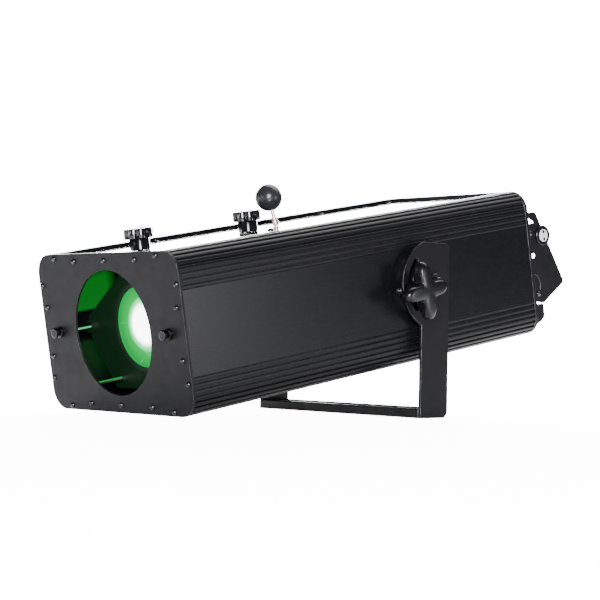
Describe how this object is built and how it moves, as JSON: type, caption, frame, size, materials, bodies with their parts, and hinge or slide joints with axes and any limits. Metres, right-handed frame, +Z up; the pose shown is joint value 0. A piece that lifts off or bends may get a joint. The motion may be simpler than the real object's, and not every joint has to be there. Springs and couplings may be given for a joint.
{
  "type": "followspot",
  "caption": "Compact stage followspot: ribbed black housing with front lens, top focus knobs, iris lever, and rear console, tilting in a flat two-arm yoke with lobed lock knobs.",
  "frame": {"origin": "centre of the yoke base's underside, which is bolted or stood on a level surface", "axes": "+Z up, +Y towards the rear of the housing (the beam leaves towards -Y), +X to the side that carries the near lock knob in the picture"},
  "size_m": [0.3736, 0.6599, 0.2935],
  "materials": {
    "black_steel": "satin black paint",
    "black_aluminium": "black anodised",
    "grey_aluminium": "bare, matt",
    "bright_steel": "ground and polished",
    "black_plastic": "gloss black",
    "matt_plastic": "matt black",
    "grey_plastic": "light grey, matt",
    "clear_glass": "polished",
    "colour_glass": "coated, clear"
  },
  "bodies": {
    "yoke": {"yoke_base": "black_steel", "yoke_arm_right": "black_steel", "yoke_arm_left": "black_steel"},
    "head": {"bottom_panel": "black_aluminium", "cheek_left": "black_steel", "cheek_right": "black_steel", "colour_motor": "grey_aluminium", "console_box": "black_steel", "corner_lower_left": "black_aluminium", "corner_lower_right": "black_aluminium", "corner_upper_left": "black_aluminium", "corner_upper_right": "black_aluminium", "data_sockets": "matt_plastic", "fan_frame": "matt_plastic", "front_plate": "black_aluminium", "gate_plate": "black_aluminium", "handle_bar": "black_aluminium", "heat_sink": "grey_aluminium", "lamp_module": "grey_aluminium", "lower_cover": "black_steel", "lower_rod_left": "bright_steel", "lower_rod_right": "bright_steel", "pivot_bolt_left": "bright_steel", "pivot_bolt_right": "bright_steel", "power_inlet": "matt_plastic", "power_supply": "grey_aluminium", "rear_plate": "black_steel", "side_panel_left": "black_aluminium", "side_panel_right": "black_aluminium", "top_panel": "black_aluminium", "trunnion_left": "bright_steel", "trunnion_right": "bright_steel", "upper_rod_left": "bright_steel", "upper_rod_right": "bright_steel"},
    "tilt_lock_right": {"tilt_lock_right": "black_plastic"},
    "tilt_lock_left": {"tilt_lock_left": "black_plastic"},
    "front_focus_knob": {"front_focus_knob": "black_plastic"},
    "rear_focus_knob": {"rear_focus_knob": "black_plastic"},
    "front_lens_carriage": {"front_carriage": "black_aluminium", "front_lens": "clear_glass"},
    "rear_lens_carriage": {"rear_carriage": "black_aluminium", "rear_lens": "clear_glass"},
    "iris_lever": {"iris_lever": "bright_steel", "lever_ball": "black_plastic"},
    "colour_wheel": {"colour_wheel_hub": "grey_aluminium", "colour_glass": "colour_glass"},
    "fan_rotor": {"fan_rotor": "matt_plastic"},
    "power_switch": {"power_switch": "matt_plastic"},
    "dial_1": {"dial_1": "black_plastic"},
    "dial_2": {"dial_2": "black_plastic"},
    "iris_blade_1": {"iris_blade_1": "bright_steel"},
    "iris_blade_2": {"iris_blade_2": "bright_steel"},
    "iris_blade_3": {"iris_blade_3": "bright_steel"},
    "iris_blade_4": {"iris_blade_4": "bright_steel"},
    "iris_blade_5": {"iris_blade_5": "bright_steel"},
    "iris_blade_6": {"iris_blade_6": "bright_steel"},
    "button_1": {"button_1": "grey_plastic"},
    "button_2": {"button_2": "grey_plastic"},
    "button_3": {"button_3": "grey_plastic"},
    "button_4": {"button_4": "grey_plastic"}
  },
  "joints": [
    {"name": "tilt", "type": "hinge", "parent": "yoke", "child": "head", "pos_m": [0, 0, 0.166], "axis": [1, 0, 0], "range_deg": [-50, 30]},
    {"name": "tilt_lock_right_turn", "type": "hinge", "parent": "head", "child": "tilt_lock_right", "pos_m": [0.1793, -0.04274, 0.15645], "axis": [1, 0, 0], "range_deg": [0, 90]},
    {"name": "tilt_lock_left_turn", "type": "hinge", "parent": "head", "child": "tilt_lock_left", "pos_m": [-0.1793, -0.04274, 0.15645], "axis": [-1, 0, 0], "range_deg": [0, 90]},
    {"name": "front_lens_slide", "type": "slide", "parent": "head", "child": "front_lens_carriage", "axis": [0, 0.9848, 0.1736], "range_m": [-0.006, 0.08]},
    {"name": "rear_lens_slide", "type": "slide", "parent": "head", "child": "rear_lens_carriage", "axis": [0, 0.9848, 0.1736], "range_m": [-0.05, 0.02]},
    {"name": "front_focus_lock", "type": "hinge", "parent": "front_lens_carriage", "child": "front_focus_knob", "pos_m": [0, -0.34294, 0.21799], "axis": [0, -0.1736, 0.9848], "range_deg": [0, 180]},
    {"name": "rear_focus_lock", "type": "hinge", "parent": "rear_lens_carriage", "child": "rear_focus_knob", "pos_m": [0, -0.17847, 0.24699], "axis": [0, -0.1736, 0.9848], "range_deg": [0, 180]},
    {"name": "iris_lever_swing", "type": "hinge", "parent": "head", "child": "iris_lever", "pos_m": [0, -0.0972, 0.14886], "axis": [0, 0.9848, 0.1736], "range_deg": [0, 23.5]},
    {"name": "iris_blade_1_turn", "type": "hinge", "parent": "head", "child": "iris_blade_1", "pos_m": [0.05, -0.09198, 0.14978], "axis": [0, -0.9848, -0.1736], "range_deg": [0, 23.5]},
    {"name": "iris_blade_2_turn", "type": "hinge", "parent": "head", "child": "iris_blade_2", "pos_m": [0.025, -0.10024, 0.19229], "axis": [0, -0.9848, -0.1736], "range_deg": [0, 23.5]},
    {"name": "iris_blade_3_turn", "type": "hinge", "parent": "head", "child": "iris_blade_3", "pos_m": [-0.025, -0.10098, 0.19216], "axis": [0, -0.9848, -0.1736], "range_deg": [0, 23.5]},
    {"name": "iris_blade_4_turn", "type": "hinge", "parent": "head", "child": "iris_blade_4", "pos_m": [-0.05, -0.0942, 0.14939], "axis": [0, -0.9848, -0.1736], "range_deg": [0, 23.5]},
    {"name": "iris_blade_5_turn", "type": "hinge", "parent": "head", "child": "iris_blade_5", "pos_m": [-0.025, -0.08742, 0.10662], "axis": [0, -0.9848, -0.1736], "range_deg": [0, 23.5]},
    {"name": "iris_blade_6_turn", "type": "hinge", "parent": "head", "child": "iris_blade_6", "pos_m": [0.025, -0.08815, 0.10649], "axis": [0, -0.9848, -0.1736], "range_deg": [0, 23.5]},
    {"name": "colour_wheel_turn", "type": "hinge", "parent": "head", "child": "colour_wheel", "pos_m": [-0.046, -0.06455, 0.15462], "axis": [0, 0.9848, 0.1736], "continuous": true},
    {"name": "fan_spin", "type": "hinge", "parent": "head", "child": "fan_rotor", "pos_m": [0, 0.09316, 0.18243], "axis": [0, 0.9848, 0.1736], "continuous": true},
    {"name": "button_1_press", "type": "slide", "parent": "head", "child": "button_1", "axis": [0, -0.834, -0.5517], "range_m": [0, 0.0012], "stiffness_N_per_m": 500, "springref_m": -0.0005},
    {"name": "button_2_press", "type": "slide", "parent": "head", "child": "button_2", "axis": [0, -0.834, -0.5517], "range_m": [0, 0.0012], "stiffness_N_per_m": 500, "springref_m": -0.0005},
    {"name": "button_3_press", "type": "slide", "parent": "head", "child": "button_3", "axis": [0, -0.834, -0.5517], "range_m": [0, 0.0012], "stiffness_N_per_m": 500, "springref_m": -0.0005},
    {"name": "button_4_press", "type": "slide", "parent": "head", "child": "button_4", "axis": [0, -0.834, -0.5517], "range_m": [0, 0.0012], "stiffness_N_per_m": 500, "springref_m": -0.0005},
    {"name": "dial_1_turn", "type": "hinge", "parent": "head", "child": "dial_1", "pos_m": [-0.063, 0.24837, 0.19812], "axis": [0, 0.834, 0.5517], "range_deg": [-135, 135]},
    {"name": "dial_2_turn", "type": "hinge", "parent": "head", "child": "dial_2", "pos_m": [-0.033, 0.24837, 0.19812], "axis": [0, 0.834, 0.5517], "range_deg": [-135, 135]},
    {"name": "power_switch_rock", "type": "hinge", "parent": "head", "child": "power_switch", "pos_m": [-0.1075, 0.18807, 0.2215], "axis": [1, 0, 0], "range_deg": [-12, 0]}
  ],
  "couplings": [
    {"joint": "iris_blade_1_turn", "follows": "iris_lever_swing", "ratio": 1},
    {"joint": "iris_blade_2_turn", "follows": "iris_lever_swing", "ratio": 1},
    {"joint": "iris_blade_3_turn", "follows": "iris_lever_swing", "ratio": 1},
    {"joint": "iris_blade_4_turn", "follows": "iris_lever_swing", "ratio": 1},
    {"joint": "iris_blade_5_turn", "follows": "iris_lever_swing", "ratio": 1},
    {"joint": "iris_blade_6_turn", "follows": "iris_lever_swing", "ratio": 1}
  ]
}
